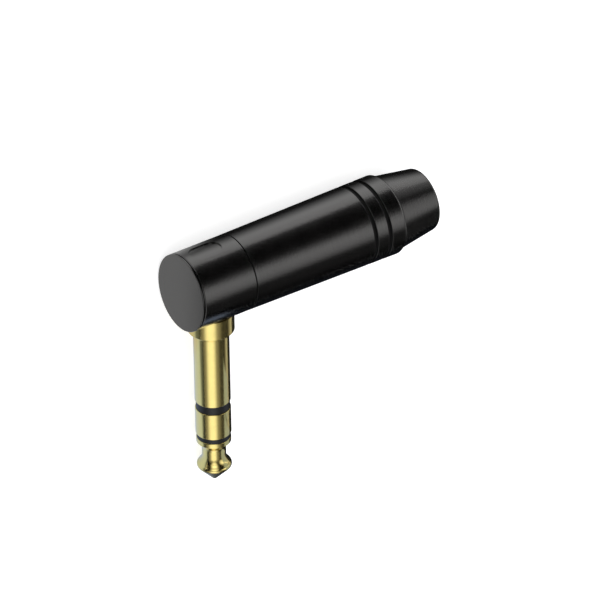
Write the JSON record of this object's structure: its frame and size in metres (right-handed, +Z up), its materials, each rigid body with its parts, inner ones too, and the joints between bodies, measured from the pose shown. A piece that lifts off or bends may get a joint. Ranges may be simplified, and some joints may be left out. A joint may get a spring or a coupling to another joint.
{
  "type": "stereo jack plug",
  "caption": "Right-angle stereo jack plug: round black head and screw-on shell with a tapered cable bush, and a gilt finger with tip, ring and sleeve contacts.",
  "frame": {"origin": "centre of the shoulder on the finger's axis, where the contact finger leaves its collar", "axes": "+X along the barrel axis from the head to the cable outlet; +Z up, with the plug lying as it comes to rest on the shell's rear rim and the ball of its tip; the finger points along -Y, dipping by the lying roll of 6.41 degrees"},
  "size_m": [0.0519, 0.0485, 0.0147],
  "materials": {
    "housing_enamel": "satin black",
    "shell_enamel": "satin black",
    "gilt_contact": "bright gold plate",
    "band_nylon": "moulded",
    "tinned_lug": "tinned",
    "nickel_nut": "nickel plated",
    "washer_fibre": "pressed",
    "liner_plastic": "moulded",
    "chuck_plastic": "moulded",
    "tail_plastic": "satin moulded"
  },
  "bodies": {
    "head": {"head_housing": "housing_enamel", "front_cap": "housing_enamel", "sleeve_contact": "gilt_contact", "ring_insulator": "band_nylon", "ring_contact": "gilt_contact", "tip_insulator": "band_nylon", "tip_contact": "gilt_contact", "sleeve_lug": "tinned_lug", "lock_washer": "nickel_nut", "sleeve_nut": "nickel_nut", "lower_washer": "washer_fibre", "ring_lug": "tinned_lug", "upper_washer": "washer_fibre", "tip_lug": "tinned_lug", "tip_nut": "nickel_nut", "terminal_carrier": "liner_plastic", "liner": "liner_plastic"},
    "chuck": {"chuck": "chuck_plastic"},
    "shell": {"shell": "shell_enamel", "tail_bush": "tail_plastic"}
  },
  "joints": [
    {"name": "thread_travel", "type": "slide", "parent": "head", "child": "chuck", "axis": [1, 0, 0], "range_m": [0, 0.0053]},
    {"name": "shell_turn", "type": "hinge", "parent": "chuck", "child": "shell", "pos_m": [0, 0.01014, 0.00114], "axis": [1, 0, 0], "range_deg": [0, 2520]}
  ],
  "couplings": [
    {"joint": "thread_travel", "follows": "shell_turn", "m_per_rad": 0.00011937}
  ]
}
